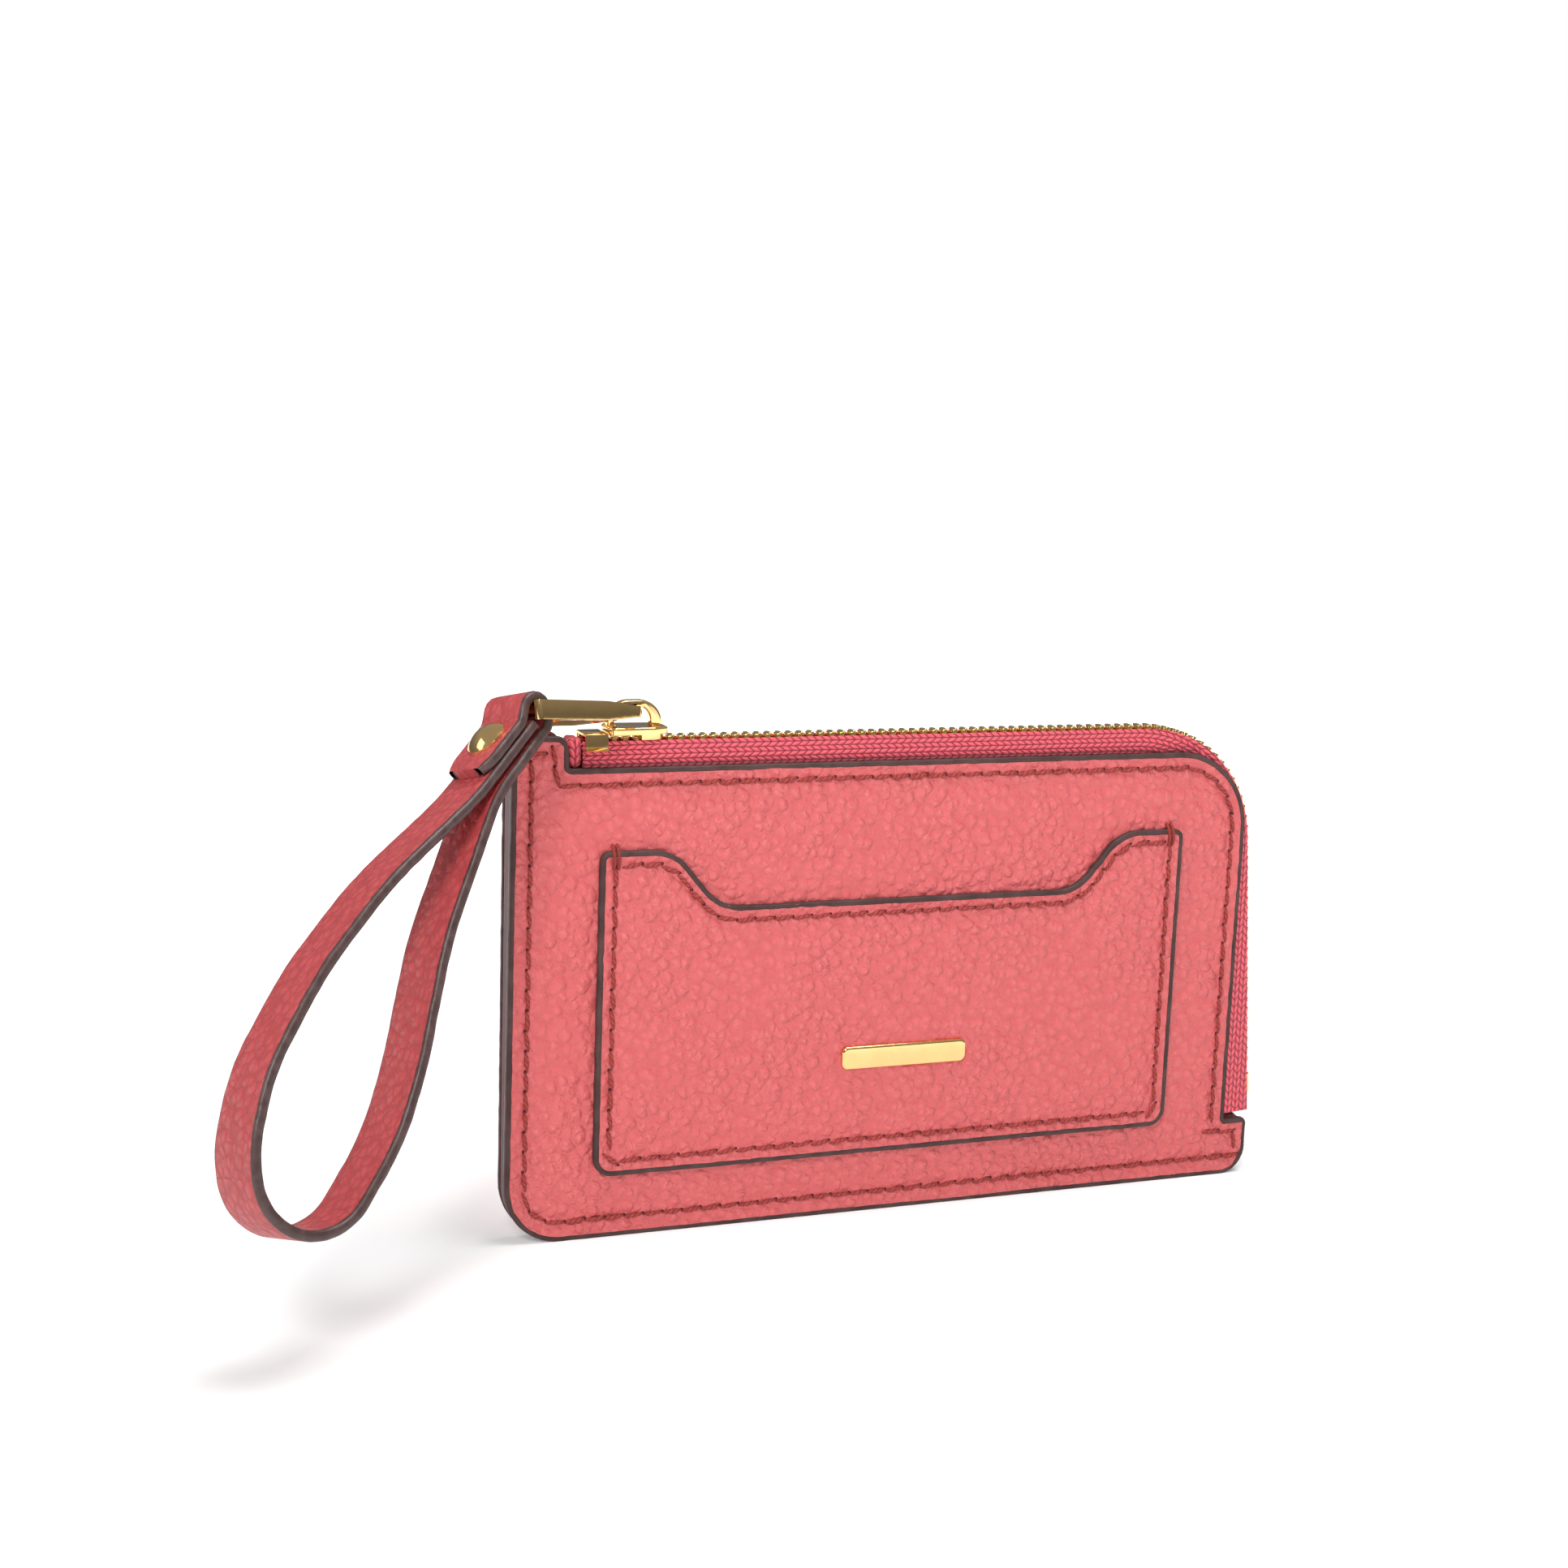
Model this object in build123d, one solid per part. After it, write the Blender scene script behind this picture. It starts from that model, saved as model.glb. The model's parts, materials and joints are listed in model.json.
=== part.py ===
from build123d import *
from math import atan2, cos, degrees, radians, sin, tan
import os

# Zipped wristlet wallet: a flat leather pouch with an L-shaped metal zip and a wrist strap.
# Millimetres. +X runs right along the wallet, +Y goes to the back, +Z is up.
# Pieces are drawn with y = 0 on the front leather's face and moved as one at the end.

# ---- wallet body -----------------------------------------------------------------------
left, right = -70.3, 69.4          # outer edges beside the sewn side and beside the zip
tab_right, tab_height = 74.4, 10.5  # lower right tab that closes the zip's end
notch_x, notch_z = -60.9, 81.3      # inside corner where the zip starts
top = 86.8                          # top of the upper left tab
bottom_thickness = 4.4              # the pouch is a slim wedge, thicker at the zip
wedge_half_angle = 0.7              # degrees from the front face to the middle plane

leather = 1.1
tape = 0.45
lining = 0.25
board_margin = 6.2                  # the stiffener stops short of the zip tape
lining_margin = 1.5
stay_width = 4.2

# ---- card pocket on the front ----------------------------------------------------------
pocket_centre, pocket_half = 0.2, 55.4
pocket_bottom, pocket_shoulder, pocket_lip = 11.3, 67.4, 57.1
pocket_leather = 1.0
pocket_lining = 0.25
pocket_face = -(pocket_leather + pocket_lining)

badge_centre = (1.4, 29.0)
badge_size = (24.0, 4.2, 0.9)

# ---- thread ----------------------------------------------------------------------------
stitch_pitch, stitch_length = 3.5, 2.9
stitch_width, stitch_height = 0.55, 0.3

# ---- zip -------------------------------------------------------------------------------
chain_z = 85.5                      # middle of the chain on the top run
chain_corner_x, chain_end = 69.0, (74.3, 12.2)
chain_corner_radius = 22.0
chain_half_width, chain_half_height = 1.9, 0.9
tooth_pitch, tooth_length = 1.95, 0.86
first_tooth_x, last_tooth_gap = -53.2, 7.7
tape_top = 0.3                      # tape rises this far past the chain's middle
tape_start_x = -58.2

# ---- slider ----------------------------------------------------------------------------
slider_left, slider_right = -53.8, -43.4
slider_top, slider_skin = 88.1, 1.3
slider_half_width, flange, flange_length = 3.45, 0.8, 5.0
crown_left, crown_right, crown_top = -53.7, -44.2, 92.4
crown_width = 1.9

# ---- puller and strap ------------------------------------------------------------------
bar_centre = Vector(-71.44, -6.32, 91.8)
strap_yaw, strap_tilt = 24.2, 13.0  # the strap faces left and forward, near side up
puller_length, puller_rise = 22.6, -4.4
bar_radius, tip_radius = 1.1, 0.8
puller_half, tip_half = 7.3, 4.1
hole_half, tip_hole_half = 6.0, 2.9
puller_thickness, tip_thickness = 3.15, 1.5

strap_width, ply_thickness = 10.5, 0.9
rivet_radius, rivet_dome = 3.45, 1.0
rivet_back = 7.0                    # from the tab's tip to the rivet
post_radius, washer_thickness = 0.8, 0.33
ply_gap = 0.05                      # between the tab and the strap's end under it

mid_plane = Plane(
    origin=(0, bottom_thickness / 2, 0),
    x_dir=(1, 0, 0),
    z_dir=(0, -cos(radians(wedge_half_angle)), sin(radians(wedge_half_angle))),
)


def middle_y(z):
    """Y of the middle plane at a height."""
    return bottom_thickness / 2 + z * tan(radians(wedge_half_angle))


def outline(corners, grow=0.0):
    """Face in the XZ plane from (x, z, corner radius) triples, in order."""
    points = [(x, z) for x, z, radius in corners]
    wire = FilletPolyline(*points, radius=[radius for x, z, radius in corners], close=True)
    face = make_face(wire)
    return offset(face, grow) if grow else face


def slab(face, y_low, y_high):
    """Plate from a face drawn in X and Z, between two depths from the front face."""
    plane = Plane(origin=(0, y_low, 0), x_dir=(1, 0, 0), z_dir=(0, -1, 0))
    return extrude(plane * face, y_low - y_high)


def mid_slab(face, across_low, across_high):
    """Plate parallel to the middle plane, at depths counted from it."""
    plane = mid_plane.offset(-across_low)
    return extrude(plane * face, across_low - across_high)


def one_solid(shape):
    solids = shape.solids()
    return max(solids, key=lambda solid: solid.volume)


def to_back(shape):
    """The back copy of a front piece, trimmed flush with the bottom edge."""
    copy = mirror(shape, about=mid_plane)
    floor = Pos(0, 0, -5) * Box(400, 100, 10)
    return copy - floor


def save(name, shapes):
    """Write one node, moved so that the origin is in the middle of the bottom edge."""
    solids = shapes if isinstance(shapes, list) else [shapes]
    solids = [Pos(0, -bottom_thickness / 2, 0) * solid for solid in solids]
    body = solids[0] if len(solids) == 1 else Compound(children=solids)
    body.label = name
    export_step(body, f"parts/{name}.step")


# ---- outlines --------------------------------------------------------------------------
panel_corners = [
    (left, 0, 10.0),
    (tab_right, 0, 5.0),
    (tab_right, tab_height, 0.9),
    (right, tab_height, 0.5),
    (right, notch_z, 14.3),
    (notch_x, notch_z, 0.7),
    (notch_x - 0.3, top, 2.0),
    (left, top, 2.5),
]


def pocket_corners():
    shoulder_in, lip_in = 42.7, 34.1
    right_half = [
        (pocket_half, pocket_shoulder, 1.5),
        (shoulder_in, pocket_shoulder, 8.6),
        (lip_in, pocket_lip, 8.4),
    ]
    left_half = [(-x, z, radius) for x, z, radius in reversed(right_half)]
    base = [(-pocket_half, pocket_bottom, 3.2), (pocket_half, pocket_bottom, 3.2)]
    return [(x + pocket_centre, z, radius) for x, z, radius in base + right_half + left_half]


def zip_band(inner, outer, end_z, start_x=notch_x + 0.4):
    """L-shaped band along the zip edge, from inner to outer past the leather's edge."""
    corner = 14.3
    return outline([
        (start_x, notch_z + outer, 0),
        (right + outer, notch_z + outer, corner + outer),
        (right + outer, end_z, 0),
        (right + inner, end_z, 0),
        (right + inner, notch_z + inner, max(corner + inner, 0)),
        (start_x, notch_z + inner, 0),
    ])


def chain_line(rise=0.0, start_x=tape_start_x):
    """The zip's line in the middle plane: top run, corner arc, leaning side run."""
    lean = atan2(chain_end[0] - chain_corner_x, chain_z - chain_end[1])
    dx, dz = rise * cos(lean), rise * sin(lean)
    end = (chain_end[0] + dx, chain_end[1] + dz)
    corner_x = chain_corner_x + dx + (dz - rise) * -tan(lean)
    return FilletPolyline(
        (start_x, chain_z + rise),
        (corner_x, chain_z + rise),
        end,
        radius=[chain_corner_radius + rise],
    )


def chain_band(low, high, start_x=tape_start_x):
    """Face between two offsets of the zip's line."""
    inner, outer = chain_line(low, start_x), chain_line(high, start_x)
    ends = [Line(inner @ 0, outer @ 0), Line(inner @ 1, outer @ 1)]
    return make_face(Wire(inner.edges() + outer.edges() + [end.edge() for end in ends]))


# ---- leather, lining, board, stay ------------------------------------------------------
def panels():
    front = slab(outline(panel_corners), 0, leather)
    return one_solid(front), one_solid(to_back(front))


def linings():
    start = leather + tape
    face = outline(panel_corners) - zip_band(-lining_margin, 6.0, 11.2, notch_x - 0.4)
    front = slab(face, start, start + lining)
    return one_solid(front), one_solid(to_back(front))


def boards():
    face = outline(panel_corners, -0.6) - zip_band(-board_margin, 6.0, 11.2, notch_x - 0.4)
    front = slab(face, leather, leather + tape)
    return one_solid(front), one_solid(to_back(front))


def edge_stay():
    """Wedge-shaped strip that fills the sewn side and bottom between the two linings."""
    depth = leather + tape + lining
    strip = outline(panel_corners) - outline([
        (left + stay_width, stay_width, 6.5),
        (right + 20, stay_width, 0),
        (right + 20, top + 5, 0),
        (left + stay_width, top + 5, 0),
    ])
    half = one_solid(slab(strip, depth, 8))
    half = one_solid(split(half, bisect_by=mid_plane, keep=Keep.TOP))
    return one_solid(half + to_back(half))


def card_pocket():
    leather_piece = slab(outline(pocket_corners()), pocket_face, -pocket_lining)
    lining_piece = slab(outline(pocket_corners(), -0.5), -pocket_lining, 0)
    holes = [slab(hole, pocket_face, 0) for hole in badge_prong_holes()]
    for hole in holes:
        leather_piece -= hole
        lining_piece -= hole
    return one_solid(leather_piece), one_solid(lining_piece)


# ---- badge -----------------------------------------------------------------------------
prong_spacing, prong_radius = 8.0, 0.6


def badge_prong_holes(grow=0.02):
    x, z = badge_centre
    return [Pos(x + side * prong_spacing, z) * Circle(prong_radius + grow) for side in (-1, 1)]


def badge():
    """Plain bar badge with two prongs that pass through the pocket."""
    width, height, thickness = badge_size
    face = Pos(*badge_centre) * RectangleRounded(width, height, 1.2)
    plate = slab(face, pocket_face - thickness, pocket_face)
    rim = plate.edges().group_by(Axis.Y)[0]
    plate = chamfer(rim, 0.3)
    for hole in badge_prong_holes(0):
        plate += slab(hole, pocket_face - 0.2, -0.05)
    return one_solid(plate)


# ---- thread ----------------------------------------------------------------------------
def stitch_row(path, face_y, pitch=stitch_pitch, length=stitch_length):
    """Flat-bottomed stitches along a path drawn in X and Z, lying on a face."""
    count = max(1, round(path.length / pitch))
    stitches = []
    for index in range(count):
        at = (index + 0.5) / count
        point, along = path.position_at(at), path.tangent_at(at)
        angle = degrees(atan2(along.Y, along.X))
        shape = Pos(point.X, point.Y) * Rot(0, 0, angle) * SlotOverall(length, stitch_width)
        stitches.append(slab(shape, face_y - stitch_height, face_y).solid())
    return stitches


def perimeter_path():
    points = [
        (-62.6, 78.4), (-63.4, 84.0), (-67.1, 84.0), (-67.1, 3.4), (72.0, 3.4), (72.0, 8.2),
        (66.8, 8.5), (66.8, 78.6), (-62.4, 78.6),
    ]
    return FilletPolyline(*points, radius=[0, 0, 6.2, 0, 0, 0, 11.6])


def pocket_path():
    x, inset = pocket_half - 2.5, 2.5
    points = [
        (pocket_centre - x, pocket_shoulder - 2.4),
        (pocket_centre - x, pocket_bottom + inset),
        (pocket_centre + x, pocket_bottom + inset),
        (pocket_centre + x, pocket_shoulder - 2.4),
    ]
    return FilletPolyline(*points, radius=[1.2, 1.2])


def lip_path():
    drop = 2.3
    points = [(x, z - drop) for x, z in [(-51.8, 67.4), (-43.5, 67.4), (-34.7, 57.1)]]
    points += [(-x, z) for x, z in reversed(points)]
    points = [(x + pocket_centre, z) for x, z in points]
    return FilletPolyline(*points, radius=[8.0, 9.5, 9.5, 8.0])


def bar_tacks():
    """Short doubled stitches that lock the two ends of the pocket's mouth."""
    tacks = []
    for side in (-1, 1):
        for step in (-0.45, 0.45):
            x = pocket_centre + side * (pocket_half - 2.5) + step
            path = Line((x, pocket_shoulder - 2.2), (x, pocket_shoulder - 0.3))
            tacks += stitch_row(path, pocket_face, 3.0, 1.8)
    return tacks


# ---- zip -------------------------------------------------------------------------------
def front_tape():
    """Flange behind the leather, a step over its edge, and a wall up to the teeth."""
    wall_in, wall_out = -chain_half_width, -chain_half_width - tape
    edge = leather + tape
    start = tape_start_x
    flange_piece = slab(zip_band(-5.5, 0.5, 12.0, start), leather, edge)
    step = slab(zip_band(0.05, 0.5, 12.4, start), -1.5, edge)
    step = split(step, bisect_by=mid_plane.offset(-wall_out), keep=Keep.BOTTOM)
    wall_face = chain_band(-7.0, tape_top) - outline(panel_corners, 0.05)
    wall = mid_slab(wall_face, wall_out, wall_in)
    piece = flange_piece + one_solid(wall) + one_solid(step)
    room = mid_slab(chain_band(-chain_half_height - 0.1, 2.0, start - 1), wall_in, 1.0)
    return one_solid(piece - room)


def tooth(side):
    """One tooth: a jaw on the tape and a rounded head that meets the other row."""
    jaw = tooth_length / 2
    head = 0.36 * side
    root = -chain_half_width * side + 0.03 * side
    points = [(-jaw, root), (jaw, root), (jaw, -0.75 * side), (0.62 * jaw, head),
              (-0.62 * jaw, head), (-jaw, -0.75 * side)]
    return extrude(Pos(0, 0, -chain_half_height) * make_face(Polyline(*points, close=True)),
                   2 * chain_half_height, dir=(0, 0, 1))


def teeth(side):
    """A row of separate teeth along the chain, half a pitch out of step with the other row."""
    line = chain_line(0, first_tooth_x)
    count = int((line.length - last_tooth_gap) / tooth_pitch)
    shape = tooth(side).solid()
    row = []
    for index in range(count):
        travelled = (index + (0.25 if side > 0 else 0.75)) * tooth_pitch
        at = travelled / line.length
        place, along = line.position_at(at), line.tangent_at(at)
        origin = mid_plane.from_local_coords(Vector(place.X, place.Y, 0))
        x_dir = mid_plane.from_local_coords(Vector(along.X, along.Y, 0)) - mid_plane.origin
        outward = mid_plane.from_local_coords(Vector(-along.Y, along.X, 0)) - mid_plane.origin
        row.append(Plane(origin=origin, x_dir=x_dir, z_dir=outward) * shape)
    return [Solid(piece.wrapped) for piece in row]


def tape_end_fold():
    """The two tape ends folded down together inside the notch."""
    low, high = notch_z + 0.1, chain_z + 0.9
    y = middle_y(high)
    block = Pos(-59.5, y, (low + high) / 2) * Box(2.2, 4.4, high - low)
    return fillet(block.edges().filter_by(Axis.Y), 0.8)


def end_clip():
    """Bent strip over both tapes that stops the slider."""
    x, width = -56.0, 3.9
    y, half, gauge = middle_y(chain_z), chain_half_width + tape + 0.1, 0.5
    roof, foot, lip = 87.1, 84.9, 0.55
    profile = Polyline(
        (-half - gauge - lip, foot - 0.6), (-half - gauge, foot), (-half - gauge, roof),
        (half + gauge, roof), (half + gauge, foot), (half + gauge + lip, foot - 0.6),
        (half + lip, foot - 0.75), (half, foot - 0.1), (half, roof - gauge),
        (-half, roof - gauge), (-half, foot - 0.1), (-half - lip, foot - 0.75), close=True)
    plane = Plane(origin=(x - width / 2, y, 0), x_dir=(0, 1, 0), z_dir=(1, 0, 0))
    return extrude(plane * make_face(profile), width)


def bottom_stop():
    """Small box clip that closes the lower end of the chain."""
    line = chain_line(0, first_tooth_x)
    at = 1 - (last_tooth_gap - 2.6) / line.length
    place, along = line.position_at(at), line.tangent_at(at)
    face = Pos(place.X, place.Y) * Rot(0, 0, degrees(atan2(along.Y, along.X)))
    face = face * Pos(0, 0.05) * Rectangle(4.0, 2.1)
    return mid_slab(face, -chain_half_width + 0.05, chain_half_width - 0.05)


# ---- slider ----------------------------------------------------------------------------
slider_y = middle_y(chain_z)
slider_mid = (slider_left + slider_right) / 2


def slider_plan(half, shrink=0.0):
    """Slider seen from above: wide at the mouth, narrow where the closed chain leaves."""
    a, b = slider_left + shrink, slider_right - shrink
    corners = [(a, -half, 1.2), (b - 2.5, -half * 0.88, 1.0), (b, -half * 0.6, 0.8),
               (b, half * 0.6, 0.8), (b - 2.5, half * 0.88, 1.0), (a, half, 1.2)]
    points = [(x, y) for x, y, radius in corners]
    wire = FilletPolyline(*points, radius=[radius for x, y, radius in corners], close=True)
    return Pos(0, slider_y) * make_face(wire)


def slider_body():
    """Top plate whose narrow end turns down outside the two tapes."""
    depth = slider_skin + 0.85
    block = extrude(Pos(0, 0, slider_top - depth) * slider_plan(slider_half_width), depth)
    rim = block.edges().group_by(Axis.Z)[-1]
    block = fillet(rim, 0.4)
    below = Pos(slider_mid, slider_y, slider_top - slider_skin - 2)
    tunnel = Box(30, 2 * (slider_half_width - flange), 4)
    open_end = Pos(-15 + (slider_right - slider_mid) - flange_length, 0, 0) * Box(30, 20, 4)
    return one_solid(block - below * tunnel - below * open_end)


def slider_base():
    """Lower plate, inside the pouch and under the chain."""
    top_z = chain_z - chain_half_height - 0.15
    plan = slider_plan(chain_half_width - 0.25, 0.6)
    block = extrude(Pos(0, 0, top_z - 1.0) * plan, 1.0)
    return one_solid(fillet(block.edges().group_by(Axis.Z)[0], 0.3))


def slider_crown():
    """Arched loop on the top plate that the puller's tip runs through."""
    outer = outline([
        (crown_left, slider_top, 0), (crown_right, slider_top, 0),
        (crown_right, crown_top, 3.9), (crown_left, crown_top, 3.6),
    ])
    inner = outline([
        (crown_left + 1.2, slider_top - 1, 0), (crown_right - 2.0, slider_top - 1, 0),
        (crown_right - 2.0, crown_top - 1.05, 2.4), (crown_left + 1.2, crown_top - 1.05, 1.0),
    ])
    arch = slab(outer - inner, slider_y - crown_width / 2, slider_y + crown_width / 2)
    return [fillet_sides(one_solid(arch), 0.25)]


def fillet_sides(shape, radius):
    """Soften the curved edges on the two flat sides."""
    sides = shape.faces().sort_by(Axis.Y)
    edges = [edge for face in (sides[0], sides[-1]) for edge in face.edges()]
    edges = [edge for edge in edges if edge.bounding_box().max.Z > slider_top + 0.5]
    return chamfer(edges, radius)


# ---- puller ----------------------------------------------------------------------------
yaw, tilt = radians(strap_yaw), radians(strap_tilt)
rightward = Vector(cos(yaw), sin(yaw), 0)
across = Vector(-sin(yaw) * cos(tilt), cos(yaw) * cos(tilt), -sin(tilt))
strap_plane = Plane(origin=bar_centre, x_dir=rightward, z_dir=across * -1)
upward = strap_plane.y_dir
tip_offset = Vector(
    puller_length * cos(radians(puller_rise)), puller_length * sin(radians(puller_rise)))
tip_centre = strap_plane.from_local_coords(tip_offset)
puller_dir = (tip_centre - bar_centre).normalized()
puller_plane = Plane(origin=bar_centre, x_dir=puller_dir, z_dir=puller_dir.cross(across))


def puller_frame():
    """Tapering cast loop: two side bars, the strap's bar and the tip bar in the crown."""
    start, end = -1.35, puller_length + tip_radius
    outer = FilletPolyline(
        (start, -puller_half), (end, -tip_half), (end, tip_half), (start, puller_half),
        radius=[0.7, 1.6, 1.6, 0.7], close=True)
    flare = (hole_half - tip_hole_half) / (end - start)
    gap_left, gap_right = hole_half + 9 * flare, tip_hole_half - 5 * flare
    inner = Polyline(
        (start - 9, -gap_left), (end + 5, -gap_right), (end + 5, gap_right),
        (start - 9, gap_left), close=True)
    sides = extrude(Pos(0, 0, -4) * (make_face(outer) - make_face(inner)), 8)
    body, tip = puller_thickness / 2, tip_thickness / 2
    profile = outline([
        (start - 2, -body, 0), (puller_length * 0.66, -body, 8), (end + 2, -tip, 0),
        (end + 2, tip * 0.7, 0), (puller_length * 0.66, body, 16), (start - 2, body, 0),
    ])
    sides = sides & extrude(Plane.XZ * profile, 20, both=True)
    rods = [
        Rot(90, 0, 0) * Cylinder(bar_radius, 2 * hole_half + 1.5),
        Pos(puller_length, 0, 0) * Rot(90, 0, 0) * Cylinder(tip_radius, 2 * tip_hole_half + 1.2),
    ]
    return one_solid(puller_plane * (sides + rods[0] + rods[1]))


# ---- strap -----------------------------------------------------------------------------
fold_radius = 2.3                   # middle of the strap where it turns round the bar


def strap_line():
    """Middle of the strap in its own plane: tab end, fold, back branch, loop, front branch."""
    route = [
        (-11.65, -8.59, 0), (-3.03, -1.61, 2.5), (-1.5, fold_radius, fold_radius - 0.1),
        (fold_radius, fold_radius, fold_radius - 0.01), (fold_radius, -2.5, 2.6),
        (-9.5, -12.4, 25.0), (-22.6, -33.2, 60.0), (-30.0, -51.0, 60.0),
        (-35.6, -61.1, 40.0), (-46.12, -71.7, 10.05), (-60.4, -71.7, 10.05),
        (-60.4, -57.4, 20.0), (-56.0, -46.9, 30.0), (-45.2, -34.3, 60.0),
        (-31.5, -23.0, 80.0), (-13.6, -12.5, 40.0), (-0.61, -2.05, 0),
    ]
    points = [(x, y) for x, y, radius in route]
    return FilletPolyline(*points, radius=[radius for x, y, radius in route[1:-1]])


def strap_ply(side):
    """One of the strap's two leathers: +1 is outside where it folds round the bar, -1 inside."""
    line = strap_line()
    section_plane = Plane(origin=line @ 0, x_dir=(0, 0, 1), z_dir=line % 0)
    section = Pos(0, -side * ply_thickness / 2) * Rectangle(strap_width, ply_thickness)
    return sweep(section_plane * section, path=line)


def rounded_tab(shape):
    """Trim the tab's free end to a half round."""
    line = strap_line()
    along = line % 0
    back = line @ 0 + along * (strap_width / 2)
    plane = Plane(origin=back, x_dir=along * -1, z_dir=Vector(-along.Y, along.X, 0))
    block = Pos(4, 0, 0) * Box(8, strap_width + 4, 5)
    keep = Cylinder(strap_width / 2, 6)
    return shape - plane * (block - keep)


def strap():
    plies = [strap_plane * rounded_tab(strap_ply(side)) for side in (1, -1)]
    return [one_solid(ply - rivet_hole()) for ply in plies]


def rivet_plane():
    line = strap_line()
    along = line % 0
    point = line @ 0 + along * rivet_back
    local = Plane(origin=point, x_dir=along, z_dir=Vector(-along.Y, along.X, 0))
    return strap_plane * local.location


def rivet_hole():
    return rivet_plane() * Cylinder(post_radius + 0.02, 12)


def rivet():
    """Domed cap on the tab, and its post with a flat washer under the strap's other end."""
    strap_thickness = 2 * ply_thickness
    upright = (Align.CENTER, Align.CENTER, Align.MIN)
    rim = Cylinder(rivet_radius, 0.35, align=upright)
    crown = Cone(rivet_radius, rivet_radius * 0.45, rivet_dome - 0.35, align=upright)
    dome = Pos(0, 0, strap_thickness / 2) * (rim + Pos(0, 0, 0.35) * crown)
    low = -1.5 * strap_thickness - ply_gap
    post = Pos(0, 0, low) * Cylinder(post_radius, strap_thickness / 2 - low, align=upright)
    washer = Pos(0, 0, low - washer_thickness) * Cylinder(2.6, washer_thickness, align=upright)
    place = rivet_plane()
    return one_solid(place * dome), one_solid(place * (post + washer))


# ---- write the pieces ------------------------------------------------------------------
os.makedirs("parts", exist_ok=True)

front_panel, back_panel = panels()
front_lining, back_lining = linings()
front_board, back_board = boards()
pocket_piece, pocket_lining_piece = card_pocket()
tape_piece = front_tape()
strap_outer, strap_inner = strap()
rivet_cap, rivet_post = rivet()

pieces = {
    "front_panel": front_panel,
    "back_panel": back_panel,
    "front_lining": front_lining,
    "back_lining": back_lining,
    "front_board": front_board,
    "back_board": back_board,
    "edge_stay": edge_stay(),
    "card_pocket": pocket_piece,
    "pocket_lining": pocket_lining_piece,
    "badge": badge(),
    "front_tape": tape_piece,
    "back_tape": one_solid(mirror(tape_piece, about=mid_plane)),
    "tape_end_fold": tape_end_fold(),
    "end_clip": end_clip(),
    "bottom_stop": bottom_stop(),
    "slider_top": slider_body(),
    "slider_base": slider_base(),
    "slider_crown": slider_crown(),
    "puller_frame": puller_frame(),
    "strap_outer": strap_outer,
    "strap_inner": strap_inner,
    "rivet_cap": rivet_cap,
    "rivet_post": rivet_post,
    "front_stitching": stitch_row(perimeter_path(), 0),
    "pocket_stitching": stitch_row(pocket_path(), pocket_face),
    "lip_stitching": stitch_row(lip_path(), pocket_face),
    "bar_tacks": bar_tacks(),
    "front_teeth": teeth(-1),
    "back_teeth": teeth(1),
}
pieces["back_stitching"] = [
    stitch for stitch in (mirror(piece, about=mid_plane) for piece in pieces["front_stitching"])]

for name, shape in pieces.items():
    save(name, shape)
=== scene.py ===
import bpy
import json
import random
import time
from math import atan2, cos, exp, hypot, pi, radians, sin, sqrt, tan
from mathutils import Matrix, Vector, kdtree, noise


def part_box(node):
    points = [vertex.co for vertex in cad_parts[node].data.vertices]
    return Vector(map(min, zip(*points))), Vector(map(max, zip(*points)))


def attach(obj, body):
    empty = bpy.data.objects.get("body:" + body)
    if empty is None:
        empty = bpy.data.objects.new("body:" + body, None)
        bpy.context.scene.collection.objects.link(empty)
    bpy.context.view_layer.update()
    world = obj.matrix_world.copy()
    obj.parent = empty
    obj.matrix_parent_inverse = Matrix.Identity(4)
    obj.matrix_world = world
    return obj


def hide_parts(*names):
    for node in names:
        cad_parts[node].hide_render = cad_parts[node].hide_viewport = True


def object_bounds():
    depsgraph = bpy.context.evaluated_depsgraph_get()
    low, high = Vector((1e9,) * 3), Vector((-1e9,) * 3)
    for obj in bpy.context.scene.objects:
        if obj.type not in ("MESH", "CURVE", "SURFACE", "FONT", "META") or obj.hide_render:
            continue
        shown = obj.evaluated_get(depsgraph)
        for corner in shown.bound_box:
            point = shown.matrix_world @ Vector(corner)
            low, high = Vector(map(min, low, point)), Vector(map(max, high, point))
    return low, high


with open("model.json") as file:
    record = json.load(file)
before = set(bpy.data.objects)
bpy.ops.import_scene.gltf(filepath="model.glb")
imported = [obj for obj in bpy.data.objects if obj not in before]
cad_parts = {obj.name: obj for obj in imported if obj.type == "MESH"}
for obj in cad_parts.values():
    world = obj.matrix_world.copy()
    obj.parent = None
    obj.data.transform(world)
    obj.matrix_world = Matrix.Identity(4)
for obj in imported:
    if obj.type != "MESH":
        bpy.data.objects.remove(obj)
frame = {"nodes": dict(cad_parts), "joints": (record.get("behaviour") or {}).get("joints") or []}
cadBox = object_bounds()
nodes = frame["nodes"]
joints = {joint["name"]: joint for joint in frame["joints"]}
mm = 0.001
rng = random.Random(12)
bpy.context.scene.view_settings.view_transform = "Standard"
started = time.time()


def stage(words):
    print(f"{words} ({time.time() - started:.0f} s)", flush=True)


stage(f"frame loaded: {len(nodes)} nodes")


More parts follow.
